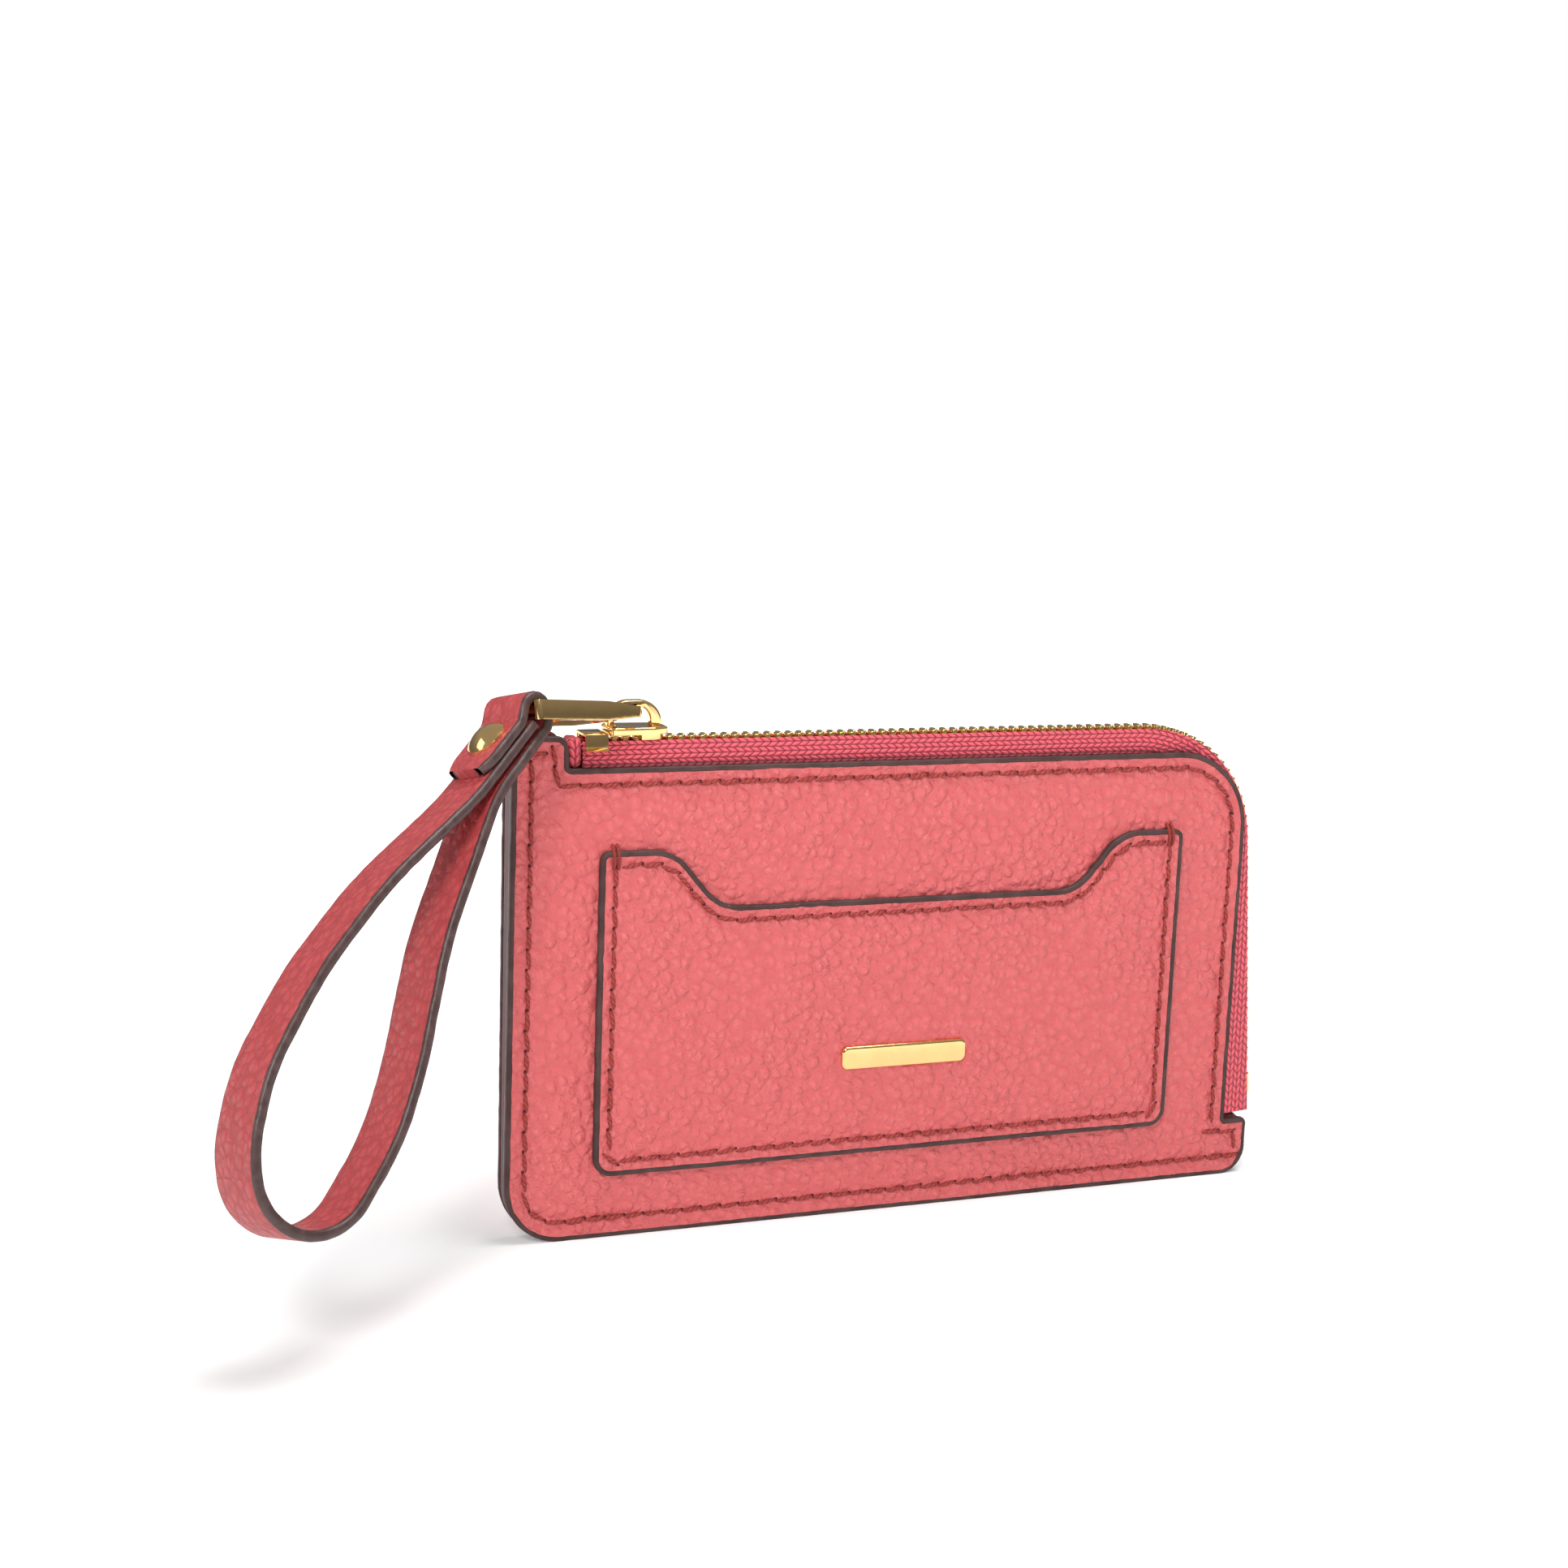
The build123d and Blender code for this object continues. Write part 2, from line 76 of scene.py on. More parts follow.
# shaders: sums on sockets, and one way to add a node
class Wire:
    def __init__(self, look, socket):
        self.look, self.socket = look, socket

    def maths(self, operation, *values):
        made = self.look.node("Math", {"operation": operation}, dict(enumerate(values)))
        return Wire(self.look, made.outputs[0])

    def __add__(self, other): return self.maths("ADD", self, other)
    def __radd__(self, other): return self.maths("ADD", other, self)
    def __sub__(self, other): return self.maths("SUBTRACT", self, other)
    def __rsub__(self, other): return self.maths("SUBTRACT", other, self)
    def __mul__(self, other): return self.maths("MULTIPLY", self, other)
    def __rmul__(self, other): return self.maths("MULTIPLY", other, self)
    def __truediv__(self, other): return self.maths("DIVIDE", self, other)
    def __pow__(self, other): return self.maths("POWER", self, other)
    def floor(self): return self.maths("FLOOR", self)
    def fract(self): return self.maths("FRACT", self)
    def sine(self): return self.maths("SINE", self)
    def size(self): return self.maths("ABSOLUTE", self)
    def atLeast(self, low): return self.maths("MAXIMUM", self, low)
    def atMost(self, high): return self.maths("MINIMUM", self, high)

    def step(self, low, high):
        # 0 below low, 1 above high, smooth between
        made = self.look.node("MapRange", {"interpolation_type": "SMOOTHSTEP"},
                              {"Value": self, "From Min": low, "From Max": high})
        return Wire(self.look, made.outputs[0])


class Finish:
    def __init__(self, name):
        self.material = bpy.data.materials.new(name)
        self.material.use_nodes = True
        self.tree = self.material.node_tree
        self.tree.nodes.clear()

    def node(self, kind, settings=None, sockets=None):
        made = self.tree.nodes.new("ShaderNode" + kind)
        for key, value in (settings or {}).items():
            if key == "stops":
                while len(made.color_ramp.elements) < len(value):
                    made.color_ramp.elements.new(0.5)
                for stop, (place, colour) in zip(made.color_ramp.elements, value):
                    stop.position, stop.color = place, (*colour, 1)
            else:
                setattr(made, key, value)
        for key, value in (sockets or {}).items():
            value = value.socket if isinstance(value, Wire) else value
            if isinstance(value, bpy.types.NodeSocket):
                self.tree.links.new(value, made.inputs[key])
            elif isinstance(value, tuple) and len(value) == 3 and made.inputs[key].type == "RGBA":
                made.inputs[key].default_value = (*value, 1)
            else:
                made.inputs[key].default_value = value
        return made

    def wire(self, kind, settings=None, sockets=None, output=0):
        return Wire(self, self.node(kind, settings, sockets).outputs[output])

    def place(self, scale=(1000, 1000, 1000)):
        # object coordinates, in millimetres unless told otherwise
        coords = self.wire("TexCoord", output="Object")
        return self.wire("Mapping", None, {"Vector": coords, "Scale": scale})

    def uv(self):
        made = self.node("SeparateXYZ", None, {0: self.wire("TexCoord", output="UV")})
        return Wire(self, made.outputs[0]), Wire(self, made.outputs[1])

    def mix(self, factor, low, high):
        return self.wire("Mix", {"data_type": "RGBA"}, {0: factor, 6: low, 7: high}, 2)

    def noise(self, place, scale, detail=3.0, rough=0.5):
        return self.wire("TexNoise", None, {
            "Vector": place, "Scale": scale, "Detail": detail, "Roughness": rough})

    def surface(self, colour, rough, height=None, depth=0.1 * mm, strength=1.0, **fixed):
        sockets = {"Base Color": colour, "Roughness": rough}
        sockets.update({key.replace("_", " "): value for key, value in fixed.items()})
        if height is not None:
            sockets["Normal"] = self.wire("Bump", None, {
                "Strength": strength, "Distance": depth, "Height": height})
        shader = self.node("BsdfPrincipled", None, sockets)
        self.node("OutputMaterial", None, {"Surface": shader.outputs[0]})
        return self.material


leatherLook = {
    "coral": (0.76, 0.149, 0.152),
    # crease: colour of the painted shade in the creases between the pebbles
    "crease": (0.60, 0.094, 0.098),
    "paint": (0.056, 0.030, 0.028),
    "paintLight": (0.092, 0.053, 0.049),
    "cell": 0.57,          # pebbles per millimetre
    "depth": 0.75 * mm,
}


def pebbleHeight(look, place, cell):
    # soft domes parted by fine creases, with smaller wrinkles on the domes
    drift = look.wire("TexNoise", None, {"Vector": place, "Scale": 0.55, "Detail": 2.0}, 1)
    bent = look.wire("VectorMath", {"operation": "MULTIPLY_ADD"},
                     {0: drift, 1: (1.1, 1.1, 1.1), 2: place})
    domes = look.wire("TexVoronoi", {"feature": "SMOOTH_F1"}, {
        "Vector": bent, "Scale": cell, "Smoothness": 0.6})
    edges = look.wire("TexVoronoi", {"feature": "DISTANCE_TO_EDGE"}, {
        "Vector": bent, "Scale": cell})
    wrinkles = look.wire("TexVoronoi", {"feature": "DISTANCE_TO_EDGE"}, {
        "Vector": bent, "Scale": cell * 2.3})
    fine = look.noise(place, 3.2, 4.0, 0.6)
    crease = edges.step(0.0, 0.26)
    dome = (1 - domes).step(0.30, 0.95)
    height = (1 - domes) * 1.1 + crease * 0.12 + wrinkles.step(0.0, 0.3) * 0.05 + fine * 0.10
    return height, crease, dome


def leather(name, colour, creaseShadeColour, cell, depth):
    look = Finish(name)
    place = look.place()
    height, crease, dome = pebbleHeight(look, place, cell)
    patches = look.noise(place, 0.045, 2.0).step(0.35, 0.65)
    height = height * (0.70 + patches * 0.45)
    # painted shade darkens the creases and a painted highlight lightens each dome centre; the noise
    # adds random tone
    tone = (crease * 0.14 + dome * 0.50 + look.noise(place, 0.7, 3.0) * 0.55).atMost(1.0)
    base = look.mix(tone, creaseShadeColour, colour)
    base = look.mix(patches * 0.10, base, tuple(min(1, c * 1.10 + 0.01) for c in colour))
    rough = 0.36 - dome * 0.05 + look.noise(place, 2.2, 2.0) * 0.12
    return look.surface(base, rough, height, depth, 1.0, Specular_IOR_Level=0.50,
                        Sheen_Weight=0.05, Sheen_Roughness=0.4)


def edgePaint():
    look = Finish("edgePaint")
    place = look.place()
    streak = look.noise(look.place((260, 260, 260)), 1.0, 3.0)
    base = look.mix(streak.step(0.3, 0.75), leatherLook["paint"], leatherLook["paintLight"])
    height = look.noise(place, 0.9, 3.0) * 0.8 + look.noise(place, 4.0, 2.0) * 0.2
    return look.surface(base, 0.40 + streak * 0.12, height, 0.16 * mm, 0.8,
                        Specular_IOR_Level=0.22)


def gold(name, colour, rough=0.12):
    look = Finish(name)
    place = look.place()
    smudge = look.noise(place, 0.35, 3.0)
    scratch = look.noise(look.place((300, 2600, 2600)), 1.0, 2.0)
    base = look.mix(smudge.step(0.3, 0.7), colour, tuple(c * 0.93 for c in colour))
    worn = rough + smudge * 0.05 + scratch.step(0.62, 0.8) * 0.05
    return look.surface(base, worn, look.noise(place, 0.8, 2.0), 0.012 * mm, 0.5, Metallic=1.0)


def thread(name, colour):
    # two strands laid round each other: u runs round the thread, v along it
    look = Finish(name)
    u, v = look.uv()
    lay = ((u + v * 2.6) * 2 * pi * 2).sine() * 0.5 + 0.5
    fuzz = look.noise(look.place(), 9.0, 2.0)
    # the grooves between the strands are painted darker (colour times 0.45), as painted shade; fuzz
    # adds random tone
    base = look.mix((lay * 0.8 + fuzz * 0.3).atMost(1.0), tuple(c * 0.45 for c in colour), colour)
    return look.surface(base, 0.60, lay + fuzz * 0.3, 0.12 * mm, 1.0, Specular_IOR_Level=0.35)


# light: the tape's colour on its loops; dark: painted shade in the gaps between the loops
tapeLook = {"light": (0.92, 0.125, 0.165), "dark": (0.32, 0.015, 0.036), "row": 0.82, "loop": 1.40}


def tapeWeave():
    # rows of slanted loops, leaning one way and then the other, as in a knitted zip tape
    look = Finish("tapeWeave")
    u, v = look.uv()
    row = v / tapeLook["row"]
    rowIndex = row.floor()
    inRow = row.fract()
    lean = ((rowIndex * 0.5).fract() * 4 - 1) * 0.62
    turn = u / tapeLook["loop"] + rowIndex * 0.37 + inRow * lean
    inLoop = turn.fract()
    across = (inRow * pi).sine().atLeast(0.0) ** 0.6
    along = (inLoop * pi).sine().atLeast(0.0) ** 0.55
    fuzz = look.noise(look.place(), 6.0, 3.0)
    height = across * along
    # the loop tops take the tape's colour and the gaps between them are painted darker, as painted
    # shade
    tone = (height * 0.95 + fuzz * 0.25).atMost(1.0)
    base = look.mix(tone.step(0.15, 0.95), tapeLook["dark"], tapeLook["light"])
    return look.surface(base, 0.50 + fuzz * 0.1, height + fuzz * 0.12, 0.34 * mm, 1.0,
                        Sheen_Weight=0.12, Sheen_Roughness=0.35)


def clothPlain(name, light, dark, count=2.2):
    look = Finish(name)
    parts = look.node("SeparateXYZ", None, {0: look.place()})
    x, z = Wire(look, parts.outputs[0]), Wire(look, parts.outputs[2])
    weft = (x * (count * pi)).sine().size()
    warp = (z * (count * pi)).sine().size()
    height = (weft * warp) ** 0.5
    # the raised threads take the light colour and the weave's dips are painted darker, as painted
    # shade
    return look.surface(look.mix(height, dark, light), 0.8, height, 0.08 * mm, 0.8,
                        Sheen_Weight=0.2)


def board():
    look = Finish("stiffenerBoard")
    fibre = look.noise(look.place((900, 900, 150)), 1.0, 4.0)
    base = look.mix(fibre, (0.36, 0.29, 0.22), (0.62, 0.54, 0.44))
    return look.surface(base, 0.85, fibre, 0.05 * mm, 0.5)


def paintedHoleShade():
    # a near-black colour for the stitch holes: painted shade, with noise in its darkness
    look = Finish("stitchHoleShade")
    shadeNoise = look.noise(look.place(), 8.0, 2.0)
    return look.surface(look.mix(shadeNoise, (0.035, 0.004, 0.006), (0.09, 0.012, 0.015)), 0.9)


coralLeather = leather("coralLeather", leatherLook["coral"], leatherLook["crease"],
                       leatherLook["cell"], leatherLook["depth"])
paint = edgePaint()
brightGold = gold("brightGold", (0.95, 0.63, 0.27), 0.07)
teethGold = gold("teethGold", (0.90, 0.62, 0.24), 0.16)
seamThread = thread("seamThread", (0.44, 0.058, 0.048))
tapeCloth = tapeWeave()
liningCloth = clothPlain("liningCloth", (0.50, 0.13, 0.15), (0.20, 0.035, 0.045))
boardStock = board()
holeShade = paintedHoleShade()
stage("finishes made")


# small modelling helpers
def deselect():
    if bpy.context.object and bpy.context.object.mode != "OBJECT":
        bpy.ops.object.mode_set(mode="OBJECT")
    bpy.ops.object.select_all(action="DESELECT")


def activate(piece):
    deselect()
    piece.select_set(True)
    bpy.context.view_layer.objects.active = piece


def editAll(piece):
    activate(piece)
    bpy.ops.object.mode_set(mode="EDIT")
    bpy.ops.mesh.select_all(action="SELECT")


def endEdit():
    bpy.ops.object.mode_set(mode="OBJECT")


def linked(name, data):
    # a new object in the scene for some mesh or curve data
    made = bpy.data.objects.new(name, data)
    bpy.context.scene.collection.objects.link(made)
    return made


def copyOf(node, name, flatten=True):
    # a merged copy of a CAD node's mesh, as the start of a new piece
    piece = linked(name, nodes[node].data.copy())
    piece.data.materials.clear()
    editAll(piece)
    bpy.ops.mesh.remove_doubles(threshold=0.002 * mm)
    if flatten:
        bpy.ops.mesh.dissolve_limited(angle_limit=radians(0.4))
    endEdit()
    return piece


def useModifier(piece, kind, **settings):
    activate(piece)
    modifier = piece.modifiers.new(kind.lower(), kind)
    for key, value in settings.items():
        setattr(modifier, key, value)
    bpy.ops.object.modifier_apply(modifier=modifier.name)


def smooth(piece, angle=40):
    activate(piece)
    bpy.ops.object.shade_smooth_by_angle(angle=radians(angle))


def finishPiece(piece, body, slot, *stands, materials=()):
    for material in materials:
        piece.data.materials.append(material)
    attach(piece, body)
    if stands:
        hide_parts(*stands)
    return piece


def gridCuts(piece, spacing, axes=(0, 2)):
    # parallel cuts through the piece, so that its flat faces can take a gentle shape
    low = [min(v.co[i] for v in piece.data.vertices) for i in range(3)]
    high = [max(v.co[i] for v in piece.data.vertices) for i in range(3)]
    editAll(piece)
    for axis in axes:
        normal = [0, 0, 0]
        normal[axis] = 1
        count = int((high[axis] - low[axis]) / spacing)
        for index in range(1, count):
            point = [0, 0, 0]
            point[axis] = low[axis] + (high[axis] - low[axis]) * index / count
            bpy.ops.mesh.select_all(action="SELECT")
            bpy.ops.mesh.bisect(plane_co=point, plane_no=normal)
    endEdit()


def islands(piece):
    # the loose parts of a mesh, each a list of its points
    parent = list(range(len(piece.data.vertices)))

    def root(i):
        while parent[i] != i:
            parent[i] = parent[parent[i]]
            i = parent[i]
        return i

    for edge in piece.data.edges:
        a, b = root(edge.vertices[0]), root(edge.vertices[1])
        if a != b:
            parent[a] = b
    groups = {}
    for vertex in piece.data.vertices:
        groups.setdefault(root(vertex.index), []).append(vertex.co.copy())
    return list(groups.values())


def joined(pieces, name):
    deselect()
    for piece in pieces:
        piece.select_set(True)
    bpy.context.view_layer.objects.active = pieces[0]
    bpy.ops.object.join()
    pieces[0].name = name
    pieces[0].data.name = name
    return pieces[0]


def setUv(piece, uvAt):
    # a UV map from a place for each point
    layers = piece.data.uv_layers
    layer = layers[0] if layers else layers.new(name="UVMap")
    for loop in piece.data.loops:
        layer.data[loop.index].uv = uvAt(loop.vertex_index)


def normalsOf(piece):
    # taken all at once, because moving one point makes every normal stale
    return [vertex.normal.copy() for vertex in piece.data.vertices]


def swept(name, line, section, closed):
    # a closed section carried along a line that lies in the XY plane, as a mesh
    def flatCurve(curveName, places, cyclic):
        curve = bpy.data.curves.new(curveName, "CURVE")
        curve.dimensions = "2D"
        spline = curve.splines.new("POLY")
        spline.points.add(len(places) - 1)
        for point, (x, y) in zip(spline.points, places):
            point.co = (x, y, 0, 1)
        spline.use_cyclic_u = cyclic
        return curve

    curve = flatCurve(name, line, closed)
    sectionObject = linked(name + "Section", flatCurve(name + "Section", section, True))
    curve.bevel_mode = "OBJECT"
    curve.bevel_object = sectionObject
    curve.use_fill_caps = not closed
    activate(linked(name, curve))
    bpy.ops.object.convert(target="MESH")
    bpy.data.objects.remove(sectionObject)
    return bpy.context.object


def nearestTo(points):
    tree = kdtree.KDTree(len(points))
    for index, point in enumerate(points):
        tree.insert(point, index)
    tree.balance()
    return lambda place: tree.find(place)[2]


# leather sheets
sheetShape = {
    "spacing": 3.4 * mm,
    "halvings": 2,
    "seamDepth": 0.22 * mm,
    "seamWidth": 0.75 * mm,
    "swell": 0.16 * mm,
    "swellReach": 5.0 * mm,
    "wave": 0.10 * mm,
}


def leatherSheet(node, name, seams, outward):
    # a sheet with its seams pulled down and a soft swell between them
    shape = sheetShape
    sheet = copyOf(node, name)
    gridCuts(sheet, shape["spacing"])
    useModifier(sheet, "SUBSURF", subdivision_type="SIMPLE", levels=shape["halvings"],
                render_levels=shape["halvings"])
    seamPoints = [v.co.copy() for seam in seams for v in nodes[seam].data.vertices]
    gapTo = nearestTo(seamPoints)
    for face in sheet.data.polygons:
        face.material_index = 1 if abs(face.normal.dot(outward)) < 0.5 else 0
    normals = normalsOf(sheet)
    for vertex, normal in zip(sheet.data.vertices, normals):
        if normal.dot(outward) < 0.3:
            continue
        gap = gapTo(vertex.co)
        dip = shape["seamDepth"] * exp(-(gap / shape["seamWidth"]) ** 2)
        swell = shape["swell"] * (1 - exp(-(gap / shape["swellReach"]) ** 2))
        wave = shape["wave"] * noise.noise(vertex.co * 45)
        rim = 1 if normal.dot(outward) > 0.95 else 0
        vertex.co += outward * ((swell + wave) * rim - dip)
    smooth(sheet, 35)
    return sheet


def outlineOf(node, outward):
    # corner points of a flat sheet's outer rim, in order, anticlockwise as seen from the front
    flat = copyOf(node, "outline")
    count, places = {}, [v.co.copy() for v in flat.data.vertices]
    for face in flat.data.polygons:
        if face.normal.dot(outward) > 0.95:
            for a, b in face.edge_keys:
                count[a, b] = count.get((a, b), 0) + 1
    bpy.data.objects.remove(flat)
    beside = {}
    for (a, b), uses in count.items():
        if uses == 1:
            beside.setdefault(a, []).append(b)
            beside.setdefault(b, []).append(a)
    here = min(beside, key=lambda i: places[i].x)
    chain = [here]
    while True:
        ahead = [i for i in beside[chain[-1]] if i not in chain]
        if not ahead:
            break
        chain.append(ahead[0])
    points = [places[i] for i in chain]
    turn = sum(a.x * b.z - b.x * a.z for a, b in zip(points, points[1:] + points[:1]))
    return points if turn > 0 else points[::-1]


def evenly(points, step):
    # the same closed outline with extra points on its long straight runs
    out = []
    for a, b in zip(points, points[1:] + points[:1]):
        count = max(1, round((b - a).length / step))
        out += [a.lerp(b, i / count) for i in range(count)]
    return out


beadShape = {"lap": 0.75, "proud": 0.15, "bulge": 0.18, "step": 1.4 * mm, "wobble": 0.10 * mm}


def paintBead(points, name, outward, depth):
    # painted edge: a half-round bead that laps over the rim of the leather
    shape = beadShape
    lap, proud, bulge = shape["lap"] * mm, shape["proud"] * mm, shape["bulge"] * mm
    section = [
        (lap, 0.02 * mm), (lap * 0.8, proud * 0.55), (lap * 0.4, proud), (0.0, proud * 0.7),
        (-bulge * 0.75, -0.12 * mm), (-bulge, -depth * 0.45), (-bulge * 0.8, -depth * 0.85),
        (0.0, -depth), (lap * 0.7, -depth * 0.9), (lap, -depth * 0.5)]
    ring = [(place.x, place.z) for place in evenly(points, shape["step"])]
    bead = swept(name, ring, section, True)
    faceAt = planeThrough(points)
    for vertex in bead.data.vertices:
        x, z, rise = vertex.co
        place = Vector((x, faceAt(x, z), z))
        wobble = noise.noise(Vector((x, z, 3.0)) * 420)
        wobble += 0.6 * noise.noise(Vector((x, z, 9.0)) * 900)
        vertex.co = place + outward * (rise + wobble * shape["wobble"] * 0.6)
        vertex.co.x += shape["wobble"] * noise.noise(Vector((x, z, 5.0)) * 500)
        vertex.co.z += shape["wobble"] * noise.noise(Vector((x, z, 7.0)) * 500)
    editAll(bead)
    bpy.ops.mesh.remove_doubles(threshold=0.001 * mm)
    bpy.ops.mesh.normals_make_consistent(inside=False)
    endEdit()
    smooth(bead, 80)
    return bead


def planeThrough(points):
    # y of the flat face that holds the outline, from three of its points that lie far apart
    a = min(points, key=lambda p: p.x)
    b = max(points, key=lambda p: p.x)
    c = max(points, key=lambda p: (p - a).cross(b - a).length)
    normal = (b - a).cross(c - a)
    return lambda x, z: a.y - (normal.x * (x - a.x) + normal.z * (z - a.z)) / normal.y


toFront = Vector((0, -1, 0))
backOutline = outlineOf("back_panel", Vector((0, 1, 0)))
slope = planeThrough(backOutline)
toBack = Vector((0, 1, -(slope(0, 0.05) - slope(0, 0)) / 0.05)).normalized()

frontSheet = leatherSheet("front_panel", "frontLeather", ["front_stitching"], toFront)
finishPiece(frontSheet, "root", "panel_leather", "front_panel", materials=[coralLeather, paint])
backSheet = leatherSheet("back_panel", "backLeather", ["back_stitching"], toBack)
finishPiece(backSheet, "root", "panel_leather", "back_panel", materials=[coralLeather, paint])
pocketSheet = leatherSheet(
    "card_pocket", "pocketLeather", ["pocket_stitching", "lip_stitching"], toFront)
finishPiece(pocketSheet, "root", "panel_leather", "card_pocket", materials=[coralLeather, paint])
stage("leather sheets done")

frontBead = paintBead(outlineOf("front_panel", toFront), "frontPaintedEdge", toFront, 1.2 * mm)
finishPiece(frontBead, "root", "edge_stay_leather", materials=[paint])
backBead = paintBead(backOutline, "backPaintedEdge", toBack, 1.2 * mm)
finishPiece(backBead, "root", "edge_stay_leather", materials=[paint])
pocketBead = paintBead(outlineOf("card_pocket", toFront), "pocketPaintedEdge", toFront, 1.2 * mm)
finishPiece(pocketBead, "root", "edge_stay_leather", materials=[paint])
stage("painted edges done")


# thread
stitchShape = {"length": 3.7 * mm, "width": 0.68 * mm, "height": 0.52 * mm, "dive": 0.24 * mm,
               "slant": 7.0, "stray": 3, "hole": 0.30 * mm}


def oneStitch():
    shape = stitchShape
    deselect()
    bpy.ops.mesh.primitive_uv_sphere_add(
        segments=8, ring_count=9, radius=0.5, rotation=(0, pi / 2, 0))
    stitch = bpy.context.object
    bpy.ops.object.transform_apply(location=True, rotation=True, scale=True)
    stitch.scale = (shape["length"], shape["width"], shape["height"])
    bpy.ops.object.transform_apply(location=True, rotation=True, scale=True)
    for vertex in stitch.data.vertices:
        along = vertex.co.x / (shape["length"] / 2)
        vertex.co.z -= shape["dive"] * along ** 4
        vertex.co.y *= 1 + 0.35 * (1 - along ** 2) - 0.2
    deselect()
    # a flattened dark blob at the stitch's end: painted shade in the stitch hole
    bpy.ops.mesh.primitive_uv_sphere_add(
        segments=8, ring_count=4, radius=shape["hole"],
        location=(shape["length"] / 2 - 0.12 * mm, 0, -0.24 * mm))
    hole = bpy.context.object
    hole.scale = (1.25, 0.9, 0.25)
    bpy.ops.object.transform_apply(location=True, rotation=True, scale=True)
    hole.data.materials.append(seamThread)
    hole.data.materials.append(holeShade)
    for face in hole.data.polygons:
        face.material_index = 1
    stitch.data.materials.append(seamThread)
    stitch.data.materials.append(holeShade)
    stitch = joined([stitch, hole], "stitchPattern")
    bpy.ops.object.shade_smooth()
    return stitch


def seam(node, name, outward):
    # a stitch on each CAD stitch, leaning a little, as a lock stitch does
    pattern = oneStitch()
    flat = copyOf(node, "seamPlaces", flatten=False)
    shape = stitchShape
    pieces = []
    for points in islands(flat):
        centre = sum(points, Vector()) / len(points)
        far = max(points, key=lambda p: (p - centre).length)
        along = (far - centre)
        along = (along - outward * along.dot(outward)).normalized()
        if along.x + along.z * 0.3 < 0:
            along = -along
        lean = radians(shape["slant"] + rng.uniform(-shape["stray"], shape["stray"]))
        along = Matrix.Rotation(lean, 3, outward) @ along
        side = outward.cross(along)
        turn = Matrix((along, side, outward)).transposed().to_4x4()
        size = Matrix.Diagonal((rng.uniform(0.96, 1.04), rng.uniform(0.92, 1.08), 1, 1))
        stitch = linked("stitch", pattern.data.copy())
        stitch.data.transform(Matrix.Translation(centre) @ turn @ size)
        pieces.append(stitch)
    bpy.data.objects.remove(flat)
    bpy.data.objects.remove(pattern)
    row = joined(pieces, name)
    return finishPiece(row, "root", "thread", node)


seam("front_stitching", "frontSeam", toFront)
seam("back_stitching", "backSeam", toBack)
seam("pocket_stitching", "pocketSeam", toFront)
seam("lip_stitching", "lipSeam", toFront)
stage("seams done")


# zip
castShape = {"sharp": 28, "smooth": 35}  # degrees: eased above one, shaded hard above the other


def metalCopy(node, name, ease, steps, material, body, slot):
    # a CAD shape with its edges eased
    piece = copyOf(node, name)
    useModifier(piece, "BEVEL", width=ease * mm, segments=steps, limit_method="ANGLE",
                angle_limit=radians(castShape["sharp"]), harden_normals=False)
    smooth(piece, castShape["smooth"])
    return finishPiece(piece, body, slot, node, materials=[material])


zipShape = {"corner": Vector((46.5, 0, 63.0)) * mm, "radius": 20.0, "cuts": 2.5 * mm}


def alongZip(place):
    # distance along the zip and distance out from the pouch, in millimetres
    corner, radius = zipShape["corner"], zipShape["radius"]
    dx, dz = (place.x - corner.x) / mm, (place.z - corner.z) / mm
    if dx <= 0:
        return dx, dz
    if dz <= 0:
        return radius * pi / 2 - dz, dx
    return radius * atan2(dx, dz), hypot(dx, dz)


def tapePiece(node, name):
    tape = copyOf(node, name)
    gridCuts(tape, zipShape["cuts"])
    setUv(tape, lambda index: alongZip(tape.data.vertices[index].co))
    smooth(tape, 50)
    return finishPiece(tape, "root", "zip_tape", node, materials=[tapeCloth])


tapePiece("front_tape", "frontTapeWoven")
tapePiece("back_tape", "backTapeWoven")
castPieces = [  # CAD node, name, eased edge in millimetres and its steps, finish, body, slot
    ("front_teeth", "frontTeethCast", 0.16, 2, teethGold, "root", "gold_teeth"),
    ("back_teeth", "backTeethCast", 0.16, 2, teethGold, "root", "gold_teeth"),
    ("end_clip", "endClipBent", 0.10, 2, brightGold, "root", "gold_hardware"),
    ("bottom_stop", "bottomStopBox", 0.30, 3, brightGold, "root", "gold_hardware"),
    ("slider_top", "sliderTopCast", 0.22, 3, brightGold, "slider", "gold_hardware"),
    ("slider_base", "sliderBaseCast", 0.20, 3, brightGold, "slider", "gold_hardware"),
    ("slider_crown", "sliderCrownCast", 0.18, 3, brightGold, "slider", "gold_hardware"),
    ("puller_frame", "pullerCast", 0.26, 3, brightGold, "puller", "gold_hardware"),
    ("badge", "badgeBar", 0.20, 3, brightGold, "root", "gold_hardware"),
    ("rivet_post", "rivetPostTurned", 0.08, 2, brightGold, "strap", "gold_hardware"),
]
for castPiece in castPieces:
    metalCopy(*castPiece)
stage("zip and metal done")


# tape end
foldShape = {"ease": 0.7 * mm, "cuts": 0.8 * mm, "ripple": 0.16 * mm}


def tapeFold():
    shape = foldShape
    fold = copyOf("tape_end_fold", "tapeEndFolded")
    useModifier(fold, "BEVEL", width=shape["ease"], segments=3, limit_method="ANGLE",
                angle_limit=radians(30))
    gridCuts(fold, shape["cuts"], axes=(1, 2))
    for vertex, normal in zip(fold.data.vertices, normalsOf(fold)):
        vertex.co += normal * shape["ripple"] * noise.noise(vertex.co * 1500)
    points = [vertex.co / mm for vertex in fold.data.vertices]
    setUv(fold, lambda index: (points[index].z, points[index].x + points[index].y))
    smooth(fold, 60)
    return finishPiece(fold, "root", "zip_tape", "tape_end_fold", materials=[tapeCloth])


tapeFold()


